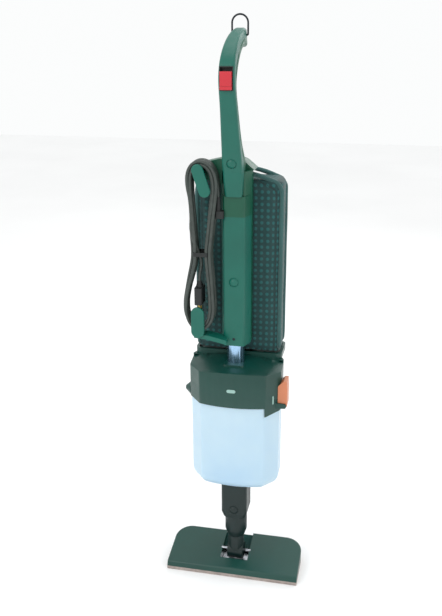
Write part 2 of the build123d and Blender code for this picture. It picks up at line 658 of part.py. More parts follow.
with BuildPart() as bearings:
    for bottom_z in (CAN_Z[0] + 0.5, CAN_Z[1] - 2.5):
        add(spun(BEARING_R, bottom_z, bottom_z + BEARING_H, y=MOTOR_Y))
        add(spun(SHAFT_R + RUN_GAP, bottom_z, bottom_z + BEARING_H, y=MOTOR_Y), mode=Mode.SUBTRACT)

with BuildPart() as motor_can:
    add(spun(CAN_R, CAN_Z[0] - 2, CAN_Z[1], y=MOTOR_Y))
    add(spun(CAN_R - 2, CAN_Z[0], CAN_Z[1] + 1, y=MOTOR_Y), mode=Mode.SUBTRACT)
    add(spun(SHAFT_R + 2, CAN_Z[0] - 3, CAN_Z[0] + 1, y=MOTOR_Y), mode=Mode.SUBTRACT)
    with Locations((0, MOTOR_Y, CORE_Z[1] + 10)):
        with PolarLocations(CAN_R, 6, start_angle=30):
            Box(8, 18, 16, align=UP, mode=Mode.SUBTRACT)

with BuildPart() as motor_end_cap:
    add(spun(CAN_R, CAN_Z[1], CAN_Z[1] + BEARING_H, y=MOTOR_Y))
    add(spun(CAN_R - 6, CAN_Z[1] + 3, CAN_Z[1] + BEARING_H + 1, y=MOTOR_Y), mode=Mode.SUBTRACT)
    add(spun(BEARING_R + 3, CAN_Z[1], CAN_Z[1] + BEARING_H, y=MOTOR_Y))
    add(spun(BEARING_R, CAN_Z[1] - 1, CAN_Z[1] + BEARING_H + 1, y=MOTOR_Y), mode=Mode.SUBTRACT)

with BuildPart() as stator:
    add(spun(CAN_R - 2, *CORE_Z, y=MOTOR_Y))
    add(spun(STATOR_INNER_R, CORE_Z[0] - 1, CORE_Z[1] + 1, y=MOTOR_Y), mode=Mode.SUBTRACT)

with BuildPart() as field_coils:
    for bottom_z in (CORE_Z[0] - 10, CORE_Z[1]):
        add(spun(CAN_R - 4, bottom_z, bottom_z + 10, y=MOTOR_Y))
    add(spun(STATOR_INNER_R + 1, CORE_Z[0] - 11, CORE_Z[1] + 11, y=MOTOR_Y), mode=Mode.SUBTRACT)
    with Locations((0, MOTOR_Y, CORE_Z[0] - 11)):
        Box(2 * CAN_R, 12, 90, align=UP, mode=Mode.SUBTRACT)

brush_z = sum(COMMUTATOR_Z) / 2
with BuildPart() as brush_gear:
    for side in (-1, 1):
        with Locations((side * 28, MOTOR_Y, brush_z)):
            Box(20, 11, 12)
        with Locations((side * (COMMUTATOR_R + AIR_GAP + 8), MOTOR_Y, brush_z)):
            Box(16, 6, 8)

with BuildPart() as motor_deck:
    with BuildSketch(Plane.XY.offset(FAN_CASE_Z[1] + 8)):
        add(housing_plan(-WALL - FIT_GAP))
        with Locations((0, MOTOR_Y)):
            Circle(CAN_R + FIT_GAP + 4, mode=Mode.SUBTRACT)
        with Locations((0, sum(DUCT_Y) / 2)):
            Rectangle(2 * DUCT_HALF_W + 1, DUCT_Y[1] - DUCT_Y[0] + 1, mode=Mode.SUBTRACT)
    extrude(amount=3)

with BuildPart() as motor_mount_ring:
    add(spun(CAN_R + 4, FAN_CASE_Z[1] + 6, FAN_CASE_Z[1] + 14, y=MOTOR_Y))
    add(spun(CAN_R + RUN_GAP, FAN_CASE_Z[1] + 5, FAN_CASE_Z[1] + 15, y=MOTOR_Y), mode=Mode.SUBTRACT)
    with Locations((0, sum(DUCT_Y) / 2, FAN_CASE_Z[1])):
        Box(2 * DUCT_HALF_W + 1, DUCT_Y[1] - DUCT_Y[0] + 1, 20, align=UP, mode=Mode.SUBTRACT)

# ---------------------------------------------------------------- stick
with BuildPart() as metal_tube:
    add(spun(TUBE_R, *TUBE_Z, y=TUBE_Y))
    add(spun(TUBE_R - TUBE_WALL, *TUBE_Z, y=TUBE_Y), mode=Mode.SUBTRACT)
    with Locations(Location((0, TUBE_Y, STICK_BUTTON_Z), (90, 0, 0))):
        Cylinder(BUTTON_FLANGE_R + 1, 40, align=UP, mode=Mode.SUBTRACT)

with BuildPart() as stick_hollow:
    add(stick_block(STICK_Z[0] + WALL, STICK_Z[1] + 1, WALL))
    add(spun(TUBE_R + RUN_GAP, STICK_Z[0] - 1, STICK_Z[0] + 2 * WALL, y=TUBE_Y))


def stick_half(side):
    """The stick's shell on one side of its joint line."""
    with BuildPart() as half:
        add(stick_block(STICK_Z[0], STICK_Z[1], 0))
        add(stick_hollow.part, mode=Mode.SUBTRACT)
        with Locations((0, STICK_Y[1], STICK_Z[0])):
            Box(4 * STICK_HALF_W, 100, 400, align=(Align.CENTER, side, Align.MIN), mode=Mode.INTERSECT)
    return half.part


with BuildPart() as stick_cover:
    add(stick_half(Align.MAX))
    with Locations(Location((0, STICK_Y[0], STICK_BUTTON_Z), (90, 0, 0))):
        Cylinder(BUTTON_R + FIT_GAP, 4 * WALL, mode=Mode.SUBTRACT)
    with Locations(Location((0, STICK_Y[0], COVER_SCREW_Z), (90, 0, 0))):
        Cylinder(3, 12, mode=Mode.SUBTRACT)

with BuildPart() as stick_channel:
    add(stick_half(Align.MIN))

stem_front_y = STICK_Y[0] + STEM_STEP
with BuildPart() as stem_socket:
    add(stick_block(STICK_Z[1], STEM_STEP_Z, 0))
    add(stick_block(STEM_STEP_Z, STEM_TOP_Z, 0, stem_front_y))
    add(stick_block(STICK_Z[1] - 1, STEM_STEP_Z - WALL, WALL), mode=Mode.SUBTRACT)
    add(stick_block(STEM_STEP_Z - WALL - 1, STEM_TOP_Z - WALL, WALL, stem_front_y), mode=Mode.SUBTRACT)
    with Locations((0, -3.2, STEM_TOP_Z)):
        Box(12, 16.4, 4 * WALL, mode=Mode.SUBTRACT)

# ---------------------------------------------------------------- handle
tongue_y = (STICK_Y[0] - 5.5, stem_front_y - 0.2)
with BuildPart() as handle_pockets:
    with Locations((0, SWITCH_Y[1], sum(SWITCH_Z) / 2)):
        Box(2 * SWITCH_HALF_W, 60, SWITCH_Z[1] - SWITCH_Z[0], align=(Align.CENTER, Align.MAX, Align.CENTER))
    with Locations(Location((0, LOOP_Y, LOOP_Z), (0, 90, 0))):
        Cylinder(LOOP_R + RUN_GAP, 60)

with BuildPart() as handle_form:
    add(handle_slice(0, 1, 30))
    add(handle_taper(0), mode=Mode.INTERSECT)
    fillet([edge for edge in handle_form.edges() if edge.length > 150], HANDLE_EDGE_R)
    fillet(handle_form.faces().sort_by(Axis.Y)[-1].edges().filter_by(Axis.X), HANDLE_EDGE_R)
    add(handle_slice(0.2, 0.84, 9, len(HANDLE) - 1), mode=Mode.SUBTRACT)

with BuildPart() as handle_tongue:
    with BuildSketch(Plane.YZ.offset(-30)):
        Polygon((tongue_y[0], STEM_STEP_Z + 0.3), (tongue_y[1], STEM_STEP_Z + 0.3),
                (tongue_y[1], STEM_TOP_Z), HANDLE[0][0], align=None)
    extrude(amount=60)
    add(handle_taper(0), mode=Mode.INTERSECT)
    fillet(handle_tongue.faces().sort_by(Axis.Y)[0].edges().sort_by(Axis.X)[0::3], HANDLE_EDGE_R)

with BuildPart() as handle_front:
    add(handle_form.part)
    add(handle_slice(-0.4, HANDLE_SPLIT, 30), mode=Mode.INTERSECT)
    add(handle_tongue.part)
    add(handle_pockets.part, mode=Mode.SUBTRACT)
    with Locations(HANDLE_FACE * Location((0, 0, 0))):
        Cylinder(BUTTON_R + FIT_GAP, 4 * WALL, mode=Mode.SUBTRACT)
        with Locations((0, 0, -WALL)):
            Cylinder(BUTTON_FLANGE_R + FIT_GAP, 9, align=(Align.CENTER, Align.CENTER, Align.MAX),
                     mode=Mode.SUBTRACT)

with BuildPart() as handle_rear:
    add(handle_form.part)
    add(handle_slice(-0.4, HANDLE_SPLIT, 30), mode=Mode.SUBTRACT)
    with Locations(HANDLE_FACE * Location((0, 0, -WALL))):
        Cylinder(BUTTON_FLANGE_R + FIT_GAP, 9, align=(Align.CENTER, Align.CENTER, Align.MAX),
                 mode=Mode.SUBTRACT)
    add(handle_pockets.part, mode=Mode.SUBTRACT)
    for x, z, y in HANDLE_SCREWS:
        with Locations(Location((x, y - 2, z), (-90, 0, 0))):
            Cylinder(SCREW_R, 12, align=UP, mode=Mode.SUBTRACT)

with BuildPart() as switch_frame:
    with Locations((0, SWITCH_Y[1], sum(SWITCH_Z) / 2)):
        Box(2 * SWITCH_HALF_W - 0.2, SWITCH_Y[1] - SWITCH_Y[0] - 3, SWITCH_Z[1] - SWITCH_Z[0] - 0.2,
            align=(Align.CENTER, Align.MAX, Align.CENTER))
    with Locations((0, SWITCH_Y[1] - 3, sum(SWITCH_Z) / 2)):
        Box(2 * (SWITCH_HALF_W - SWITCH_RIM), 60, SWITCH_Z[1] - SWITCH_Z[0] - 2 * SWITCH_RIM,
            align=(Align.CENTER, Align.MAX, Align.CENTER), mode=Mode.SUBTRACT)

slider_z = SWITCH_Z[0] + SWITCH_RIM + 0.4
with BuildPart() as switch_slider:
    with Locations((0, SWITCH_Y[1] - 3.3, slider_z)):
        Box(2 * (SWITCH_HALF_W - SWITCH_RIM) - 0.6, SWITCH_Y[1] - SWITCH_Y[0] + 0.7, SLIDER_H,
            align=(Align.CENTER, Align.MAX, Align.MIN))
    fillet(switch_slider.faces().sort_by(Axis.Y)[0].edges(), 1.2)
    with Locations((0, SWITCH_Y[0] - 4, slider_z + 6)):
        Box(40, 1.6, 1.2, mode=Mode.SUBTRACT)

with BuildPart() as hanging_loop:
    leg_x = LOOP_HALF_W
    bend_x = leg_x - LOOP_BEND_R
    bend_z = LOOP_Z + LOOP_BEND_R
    arch_z = LOOP_TOP_Z - leg_x - LOOP_R
    with BuildLine() as loop_path:
        Line((5, LOOP_Y, LOOP_Z), (bend_x, LOOP_Y, LOOP_Z))
        TangentArc((bend_x, LOOP_Y, LOOP_Z), (leg_x, LOOP_Y, bend_z), tangent=(1, 0, 0))
        Line((leg_x, LOOP_Y, bend_z), (leg_x, LOOP_Y, arch_z))
        ThreePointArc((leg_x, LOOP_Y, arch_z), (0, LOOP_Y, arch_z + leg_x), (-leg_x, LOOP_Y, arch_z))
        Line((-leg_x, LOOP_Y, arch_z), (-leg_x, LOOP_Y, bend_z))
        TangentArc((-leg_x, LOOP_Y, bend_z), (-bend_x, LOOP_Y, LOOP_Z), tangent=(0, 0, -1))
        Line((-bend_x, LOOP_Y, LOOP_Z), (-5, LOOP_Y, LOOP_Z))
    with BuildSketch(Plane((5, LOOP_Y, LOOP_Z), z_dir=(1, 0, 0))):
        Circle(LOOP_R)
    sweep(path=loop_path.line)

# ---------------------------------------------------------------- bag
with BuildPart() as bag_cover:
    add(bag_block(0))
    add(bag_block(CLOTH_T), mode=Mode.SUBTRACT)
    with Locations((0, sum(BAG_Y) / 2, BAG_Z[0] - 1)):
        Box(2 * (BAG_HALF_W - CLOTH_T) - 8, BAG_Y[1] - BAG_Y[0] - 2 * CLOTH_T - 4, 3 + CLOTH_T, align=UP,
            mode=Mode.SUBTRACT)

with BuildPart() as filter_bag:
    with BuildSketch(Plane.XY.offset(BAG_Z[0] + 16)):
        with Locations((0, sum(BAG_Y) / 2)):
            RectangleRounded(2 * BAG_HALF_W - 22, BAG_Y[1] - BAG_Y[0] - 16, 10)
    extrude(amount=BAG_Z[1] - BAG_ARCH - BAG_Z[0] - 30)
    with BuildSketch(Plane.XY.offset(BAG_Z[0] + 18)):
        with Locations((0, sum(BAG_Y) / 2)):
            RectangleRounded(2 * BAG_HALF_W - 26, BAG_Y[1] - BAG_Y[0] - 20, 8)
    extrude(amount=BAG_Z[1] - BAG_ARCH - BAG_Z[0] - 34, mode=Mode.SUBTRACT)
    add(spun(13, BAG_Z[0] + 10, BAG_Z[0] + 20, y=sum(DUCT_Y) / 2 - 8), mode=Mode.SUBTRACT)

with BuildPart() as bag_collar:
    with BuildSketch(Plane.XY.offset(BAG_COLLAR_Z[0])):
        with Locations((0, sum(BAG_Y) / 2)):
            RectangleRounded(2 * BAG_HALF_W + 2, BAG_Y[1] - BAG_Y[0] + 2, 12)
        with Locations((0, sum(DUCT_Y) / 2)):
            Rectangle(2 * DUCT_HALF_W + 0.2, DUCT_Y[1] - DUCT_Y[0] + 0.2, mode=Mode.SUBTRACT)
    extrude(amount=BAG_COLLAR_Z[1] - BAG_COLLAR_Z[0])
    with BuildSketch(Plane.XY.offset(BAG_COLLAR_Z[0] + 4)):
        with Locations((0, sum(BAG_Y) / 2)):
            RectangleRounded(2 * BAG_HALF_W - 8, BAG_Y[1] - BAG_Y[0] - 8, 8)
    extrude(amount=40, mode=Mode.SUBTRACT)

cap_arc_z = CAP_TOP_Z - 5
with BuildPart() as dome_cap:
    with BuildSketch(Plane.XZ.offset(-CAP_Y[0])):
        with BuildLine():
            Polyline((-CAP_HALF_W / 2, cap_arc_z), (-CAP_HALF_W, STEM_TOP_Z), (CAP_HALF_W, STEM_TOP_Z),
                     (CAP_HALF_W / 2, cap_arc_z))
            ThreePointArc((CAP_HALF_W / 2, cap_arc_z), (0, CAP_TOP_Z), (-CAP_HALF_W / 2, cap_arc_z))
        make_face()
    extrude(amount=-(CAP_Y[1] - CAP_Y[0]))

# ---------------------------------------------------------------- cord hooks
with BuildPart() as hook_bracket:
    with BuildSketch(Plane.XZ.offset(-BRACKET_Y[0])):
        with Locations(HOOK_PIVOT):
            Circle(16)
        Polygon(HOOK_PIVOT, (-66, 885), (-STICK_HALF_W, 894), (-STICK_HALF_W + 10, 894),
                (-STICK_HALF_W + 10, 846), (-58, 855), align=None)
    extrude(amount=-(BRACKET_Y[1] - BRACKET_Y[0]))
    add(stick_block(STICK_Z[1], STEM_TOP_Z, -0.1), mode=Mode.SUBTRACT)
    with Locations((0, -30, STEM_TOP_Z - 10)):
        Box(2 * (HANDLE_WIDTHS[1][0] + 1), 60, 100, align=(Align.CENTER, Align.CENTER, Align.MIN),
            mode=Mode.SUBTRACT)
    add(dome_cap.part, mode=Mode.SUBTRACT)
    with Locations(Location((HOOK_PIVOT[0], 0, HOOK_PIVOT[1]), (90, 0, 0))):
        Cylinder(HOOK_SHAFT_R + RUN_GAP, 200, mode=Mode.SUBTRACT)

plate_rear_y = HANK_Y[0] - 0.4
with BuildPart() as cord_hook_upper:
    plate_mid = (HOOK_PIVOT[0] + 13 * math.sin(math.radians(HOOK_TILT)),
                 HOOK_PIVOT[1] - 13 * math.cos(math.radians(HOOK_TILT)))
    with BuildSketch(Plane.XZ.offset(-plate_rear_y)):
        with Locations(Location((*plate_mid, 0), (0, 0, 90 + HOOK_TILT))):
            SlotOverall(HOOK_PLATE[0], HOOK_PLATE[1])
    extrude(amount=HOOK_PLATE[2])
    fillet(cord_hook_upper.faces().sort_by(Axis.Y)[0].edges(), 1.8)
    with Locations(Location((HOOK_PIVOT[0], plate_rear_y, HOOK_PIVOT[1]), (-90, 0, 0))):
        Cylinder(STUB_R, BRACKET_Y[0] - 0.3 - plate_rear_y, align=UP)
        Cylinder(HOOK_SHAFT_R, BRACKET_Y[1] + 2 - plate_rear_y, align=UP)
    with Locations(Location((HOOK_PIVOT[0], BRACKET_Y[1] + 0.3, HOOK_PIVOT[1]), (-90, 0, 0))):
        Cylinder(HOOK_SHAFT_R + 3, 1.7, align=UP)

with BuildPart() as cord_hook_lower:
    with BuildSketch(Plane.XZ.offset(-HANK_Y[0] + 2)):
        with Locations(LOWER_HOOK):
            SlotOverall(LOWER_PLATE[0], LOWER_PLATE[1], rotation=90)
    extrude(amount=LOWER_PLATE[2])
    fillet(cord_hook_lower.faces().sort_by(Axis.Y)[0].edges(), 1.8)
    with BuildSketch(Plane.XZ.offset(-HANK_Y[0] + 2)):
        Polygon((-78, ARM_TOP_Z), (-50, ARM_TOP_Z), (-12, ARM_TOP_Z - 8), (-12, ARM_TOP_Z - 8 - ARM_H),
                (-50, ARM_TOP_Z - ARM_H), (-76, ARM_TOP_Z - ARM_H + 2), align=None)
    extrude(amount=-26)
    add(stick_block(STICK_Z[0], STICK_Z[1], 0), mode=Mode.SUBTRACT)

# ---------------------------------------------------------------- mains cord
HANK_OUTLINE = [(-62, 885), (-72, 882.5), (-79, 870), (-80.5, 848), (-77.5, 795), (-74, 716), (-84, 670),
                (-96, 618), (-93, 585), (-79, 564), (-61, 563), (-46, 578), (-41, 618), (-43.5, 660),
                (-49, 716), (-41, 780), (-35, 815), (-33.4, 850), (-37, 869), (-48, 881.5)]
UPPER_EYE = [(-62, 878), (-68.2, 875.6), (-70.6, 867.5), (-68.5, 850), (-65, 820), (-61.5, 775),
             (-57, 820), (-53.5, 850), (-53.2, 867.5), (-55.8, 875.6)]
LOWER_EYE = [(-62.5, 698), (-71, 665), (-82.5, 620), (-80.5, 594), (-69.5, 577.5), (-58.5, 592),
             (-54.3, 620), (-56.5, 665)]
hank_depth = HANK_Y[1] - HANK_Y[0]
with BuildPart() as cord_hank:
    with BuildSketch(Plane.XZ.offset(-HANK_Y[0])):
        with BuildLine():
            Spline(*HANK_OUTLINE, periodic=True)
        make_face()
        with BuildLine():
            Spline(*UPPER_EYE, periodic=True)
        make_face(mode=Mode.SUBTRACT)
        with BuildLine():
            Spline(*LOWER_EYE, periodic=True)
        make_face(mode=Mode.SUBTRACT)
    extrude(amount=-hank_depth)


def corner_radii(points):
    """The largest easy bend at every inner corner of a route."""
    radii = []
    for before, here, after in zip(points, points[1:], points[2:]):
        run_in = Vector(*here) - Vector(*before)
        run_out = Vector(*after) - Vector(*here)
        half_turn = math.radians(run_in.get_angle(run_out)) / 2
        radii.append(0.45 * min(run_in.length, run_out.length) / math.tan(half_turn))
    return radii


def cord_run(points, radius):
    """A round cord along a route with its corners eased."""
    start = Vector(*points[0])
    with BuildPart() as run:
        with BuildLine() as path:
            FilletPolyline(*points, radius=corner_radii(points))
        with BuildSketch(Plane(start, z_dir=Vector(*points[1]) - start)):
            Circle(radius)
        sweep(path=path.wires()[0])
    length = path.wires()[0].length
    expected = math.pi * radius ** 2 * length
    print("cord run", round(length, 1), "mm, radii", [round(r, 1) for r in corner_radii(points)],
          "volume ratio", round(run.part.volume / expected, 4))
    return run.part


LEAD_POINTS = [(-29.5, -21, 826), (-29.5, -21, 850), (-37, -21, 875), (-55, -21, 886)]
TAIL_POINTS = [(-62.5, -21, 704), (-63.5, -22, 688), (-67, -21.75, 672), (-67, -21.75, 660)]
with BuildPart() as cord_lead:
    add(cord_run(LEAD_POINTS, CORD_R))

with BuildPart() as cord_tail:
    add(cord_run(TAIL_POINTS, CORD_R))

with BuildPart() as strain_relief:
    with Locations((-STICK_HALF_W + 3, (HANK_Y[0] + STICK_Y[0]) / 2 + 6, STICK_Z[1] - 2)):
        Box(16, 14, 14, align=(Align.CENTER, Align.CENTER, Align.MIN))
    fillet(strain_relief.edges().filter_by(Axis.Z), 3)
    with Locations((-29.5, -21, STICK_Z[1] + 12)):
        Cone(5.5, 4.2, 26, align=UP)
    add(stick_block(STICK_Z[0], STICK_Z[1], -0.05), mode=Mode.SUBTRACT)
    add(stick_block(STICK_Z[1], STEM_STEP_Z, -0.05), mode=Mode.SUBTRACT)

with BuildPart() as cord_tie:
    with BuildSketch(Plane.XY.offset(712)):
        with Locations((-62, sum(HANK_Y) / 2)):
            RectangleRounded(29, hank_depth + 2.4, 4)
    extrude(amount=8)
    add(cord_hank.part, mode=Mode.SUBTRACT)

PLUG_X = -67
PLUG_Z = (615, 660)
with BuildPart() as plug_body:
    with Locations((PLUG_X, sum(HANK_Y) / 2, PLUG_Z[0])):
        Box(15, 34, 34, align=UP)
    fillet(plug_body.edges().filter_by(Axis.Z), 4)
    with Locations((PLUG_X, sum(HANK_Y) / 2, PLUG_Z[0] + 34)):
        Cone(7.2, 4.4, PLUG_Z[1] - PLUG_Z[0] - 34, align=UP)

with BuildPart() as plug_pins:
    with Locations((PLUG_X, sum(HANK_Y) / 2 - 9.5, PLUG_Z[0]), (PLUG_X, sum(HANK_Y) / 2 + 9.5, PLUG_Z[0])):
        Cylinder(2.4, 19, align=(Align.CENTER, Align.CENTER, Align.MAX))

# ---------------------------------------------------------------- hidden cable and screws
CABLE_R = 2.6
cable_mid = handle_line(0.5)
CABLE_POINTS = [(0, TUBE_Y, TUBE_Z[0] + 6), (0, TUBE_Y, STEM_TOP_Z - 20), (0, *cable_mid[2])]
with BuildPart() as inner_cable:
    add(cord_run(CABLE_POINTS, CABLE_R))

with BuildPart() as case_screws:
    with Locations(Location((0, STICK_Y[0] + 0.8, COVER_SCREW_Z), (-90, 0, 0))):
        Cylinder(SCREW_R, 1.7, align=UP)
    for x, z, y in HANDLE_SCREWS:
        with Locations(Location((x, y - 2, z), (-90, 0, 0))):
            Cylinder(SCREW_R, 1.5, align=UP)

# ---------------------------------------------------------------- files
PIECES = {
    "nozzle_shell": nozzle_shell, "sole_bumper": sole_bumper, "sole_plate": sole_plate,
    "nozzle_screws": nozzle_screws, "lint_strips": lint_strips, "hinge_pins": hinge_pins,
    "swivel_elbow": swivel_elbow, "neck_collar": neck_collar, "neck_socket": neck_socket,
    "neck_button": neck_button, "stick_button": stick_button, "handle_button": handle_button,
    "button_springs": button_springs, "lower_housing": lower_housing, "upper_housing": upper_housing,
    "badges": badges, "side_knob": side_knob, "latch_lever": latch_lever,
    "latch_bracket": latch_bracket, "inlet_duct": inlet_duct, "fan_case": fan_case,
    "exhaust_duct": exhaust_duct,
    "impeller": impeller, "motor_shaft": motor_shaft, "armature": armature,
    "armature_windings": armature_windings, "commutator": commutator, "bearings": bearings,
    "motor_can": motor_can, "motor_end_cap": motor_end_cap, "stator": stator,
    "field_coils": field_coils, "brush_gear": brush_gear, "motor_deck": motor_deck,
    "motor_mount_ring": motor_mount_ring, "metal_tube": metal_tube, "stick_cover": stick_cover,
    "stick_channel": stick_channel, "stem_socket": stem_socket, "handle_front": handle_front,
    "handle_rear": handle_rear, "switch_frame": switch_frame, "switch_slider": switch_slider,
    "hanging_loop": hanging_loop, "bag_cover": bag_cover, "filter_bag": filter_bag,
    "bag_collar": bag_collar, "dome_cap": dome_cap, "hook_bracket": hook_bracket,
    "cord_hook_upper": cord_hook_upper, "cord_hook_lower": cord_hook_lower, "cord_hank": cord_hank,
    "cord_lead": cord_lead, "cord_tail": cord_tail, "strain_relief": strain_relief,
    "cord_tie": cord_tie, "plug_body": plug_body, "plug_pins": plug_pins,
    "inner_cable": inner_cable, "case_screws": case_screws,
}
for name, piece in PIECES.items():
    piece.part.label = name
    export_step(piece.part, f"parts/{name}.step")
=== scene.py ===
"""Upright vacuum cleaner: the looks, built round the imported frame. Metres, same frame as the CAD."""
import json
import math
import random

import bmesh
import bpy
import numpy as np
from mathutils import Matrix, Vector


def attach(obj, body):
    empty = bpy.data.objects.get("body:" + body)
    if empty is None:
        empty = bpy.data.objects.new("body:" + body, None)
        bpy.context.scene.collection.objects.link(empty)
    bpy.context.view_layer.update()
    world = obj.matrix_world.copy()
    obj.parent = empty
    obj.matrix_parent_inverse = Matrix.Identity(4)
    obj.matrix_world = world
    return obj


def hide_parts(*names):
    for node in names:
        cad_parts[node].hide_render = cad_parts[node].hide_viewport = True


MM = 0.001
DOT_PITCH = 12.0  # from one raised dot of the bag cloth to the next, mm

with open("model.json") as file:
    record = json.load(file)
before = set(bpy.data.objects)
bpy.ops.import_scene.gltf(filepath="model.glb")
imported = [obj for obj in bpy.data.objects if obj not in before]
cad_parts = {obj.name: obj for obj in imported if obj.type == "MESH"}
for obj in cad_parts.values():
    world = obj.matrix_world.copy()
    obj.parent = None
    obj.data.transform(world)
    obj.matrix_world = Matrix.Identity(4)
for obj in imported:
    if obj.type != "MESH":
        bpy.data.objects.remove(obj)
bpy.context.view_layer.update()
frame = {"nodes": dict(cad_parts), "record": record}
nodes = frame["nodes"]


# ---------------------------------------------------------------- materials
def linear(red, green, blue):
    """A colour given as 0 to 255 display values, as linear values with alpha."""
    return tuple((c / 255 / 12.92) if c < 11 else ((c / 255 + 0.055) / 1.055) ** 2.4
                 for c in (red, green, blue)) + (1.0,)


class Shader:
    """A node tree with one Principled surface, built a step at a time."""

    def __init__(self, name):
        self.material = bpy.data.materials.new(name)
        self.material.use_nodes = True
        self.tree = self.material.node_tree
        self.surface = self.tree.nodes["Principled BSDF"]
        self.place = self.tree.nodes.new("ShaderNodeTexCoord").outputs["Object"]

    def node(self, kind, **values):
        made = self.tree.nodes.new(kind)
        for key, value in values.items():
            if key in made.inputs:
                made.inputs[key].default_value = value
            else:
                setattr(made, key, value)
        return made

    def link(self, source, target):
        self.tree.links.new(source, target)

    def stretched(self, scale):
        """Object coordinates, scaled by axis."""
        mapping = self.node("ShaderNodeMapping")
        mapping.inputs["Scale"].default_value = scale
        self.link(self.place, mapping.inputs["Vector"])
        return mapping.outputs["Vector"]

    def noise(self, scale, detail=3.0, place=None):
        made = self.node("ShaderNodeTexNoise", Scale=scale, Detail=detail)
        self.link(place or self.place, made.inputs["Vector"])
        return made.outputs["Fac"]

    def between(self, factor, stops):
        ramp = self.node("ShaderNodeValToRGB").color_ramp
        owner = self.tree.nodes[-1]
        while len(ramp.elements) < len(stops):
            ramp.elements.new(0.5)
        for element, (place, colour) in zip(ramp.elements, stops):
            element.position = place
            element.color = colour
        self.link(factor, owner.inputs["Fac"])
        return owner.outputs["Color"]

    def spread(self, factor, low, high):
        """A 0 to 1 value moved to a range."""
        made = self.node("ShaderNodeMapRange")
        made.inputs["From Min"].default_value = 0.3
        made.inputs["From Max"].default_value = 0.7
        made.inputs["To Min"].default_value = low
        made.inputs["To Max"].default_value = high
        self.link(factor, made.inputs["Value"])
        return made.outputs["Result"]

    def bump(self, height, depth, strength=1.0, over=None):
        made = self.node("ShaderNodeBump", Strength=strength, Distance=depth)
        self.link(height, made.inputs["Height"])
        if over is not None:
            self.link(over, made.inputs["Normal"])
        return made.outputs["Normal"]


def shade(colour, share):
    """A darker or lighter version of a linear colour."""
    return tuple(min(1.0, c * share) for c in colour[:3]) + (1.0,)


def plastic(name, colour, rough=0.4, grain=0.00012, coat=0.0, mottle=0.12):
    """Moulded plastic: faint cloudiness, fine grain, uneven gloss."""
    s = Shader(name)
    cloud = s.noise(9.0, 4.0)
    s.link(s.between(cloud, [(0.3, shade(colour, 1 - mottle)), (0.7, shade(colour, 1 + mottle))]),
           s.surface.inputs["Base Color"])
    s.link(s.spread(s.noise(45.0, 5.0), rough - 0.06, rough + 0.08), s.surface.inputs["Roughness"])
    fine = s.bump(s.noise(2600.0, 2.0), grain, 0.5)
    s.link(s.bump(s.noise(30.0, 2.0), 0.0004, 0.12, fine), s.surface.inputs["Normal"])
    s.surface.inputs["Coat Weight"].default_value = coat
    s.surface.inputs["Coat Roughness"].default_value = 0.25
    s.surface.inputs["IOR"].default_value = 1.48
    return s.material


def tank_plastic():
    """Milky translucent polypropylene."""
    s = Shader("tank_milky")
    cloud = s.noise(6.0, 3.0)
    s.link(s.between(cloud, [(0.3, linear(176, 208, 236)), (0.7, linear(196, 222, 240))]),
           s.surface.inputs["Base Color"])
    s.link(s.spread(s.noise(40.0, 5.0), 0.28, 0.4), s.surface.inputs["Roughness"])
    s.link(s.bump(s.noise(1800.0, 2.0), 0.0001, 0.4), s.surface.inputs["Normal"])
    s.surface.inputs["Subsurface Weight"].default_value = 0.35
    s.surface.inputs["Subsurface Radius"].default_value = (0.012, 0.014, 0.018)
    s.surface.inputs["Subsurface Scale"].default_value = 0.6
    return s.material


def metal(name, colour, rough=0.25, brushed=(1.0, 1.0, 0.02), metallic=1.0):
    """Drawn or brushed metal, its fine lines along one axis."""
    s = Shader(name)
    lines = s.noise(900.0, 4.0, s.stretched(brushed))
    s.link(s.between(lines, [(0.3, shade(colour, 0.86)), (0.7, shade(colour, 1.08))]),
           s.surface.inputs["Base Color"])
    s.link(s.spread(lines, rough - 0.07, rough + 0.1), s.surface.inputs["Roughness"])
    s.link(s.bump(lines, 0.00004, 0.5), s.surface.inputs["Normal"])
    s.surface.inputs["Metallic"].default_value = metallic
    return s.material


def rubber(name, colour, rough=0.62):
    """Soft rubber or cord jacket: matt with faint scuffs."""
    s = Shader(name)
    scuff = s.noise(120.0, 6.0)
    s.link(s.between(scuff, [(0.35, shade(colour, 0.82)), (0.75, shade(colour, 1.25))]),
           s.surface.inputs["Base Color"])
    s.link(s.spread(scuff, rough - 0.12, rough + 0.08), s.surface.inputs["Roughness"])
    s.link(s.bump(s.noise(1400.0, 3.0), 0.00012, 0.6), s.surface.inputs["Normal"])
    return s.material


def cloth(name, colour, pitch=0.0011):
    """Plain woven cloth, its threads seen from close by, with light worn patches."""
    s = Shader(name)
    warp = s.node("ShaderNodeTexWave", bands_direction="X", Scale=0.31 / pitch, Distortion=1.2)
    weft = s.node("ShaderNodeTexWave", bands_direction="Z", Scale=0.31 / pitch, Distortion=1.2)
    for wave in (warp, weft):
        wave.inputs["Detail"].default_value = 1.0
        s.link(s.place, wave.inputs["Vector"])
    threads = s.node("ShaderNodeMath", operation="MULTIPLY")
    s.link(warp.outputs["Fac"], threads.inputs[0])
    s.link(weft.outputs["Fac"], threads.inputs[1])
    patch = s.noise(14.0, 5.0)
    mixed = s.node("ShaderNodeMath", operation="ADD")
    s.link(threads.outputs[0], mixed.inputs[0])
    s.link(s.spread(patch, -0.25, 0.35), mixed.inputs[1])
    stops = [(0.0, shade(colour, 0.72)), (0.55, colour), (1.0, shade(colour, 1.45))]
    s.link(s.between(mixed.outputs[0], stops), s.surface.inputs["Base Color"])
    s.surface.inputs["Roughness"].default_value = 0.78
    soft = s.bump(s.noise(700.0, 3.0), 0.0002, 0.5)
    s.link(s.bump(threads.outputs[0], 0.0003, 0.7, soft), s.surface.inputs["Normal"])
    s.surface.inputs["Sheen Weight"].default_value = 0.25
    s.surface.inputs["Sheen Roughness"].default_value = 0.5
    return s.material


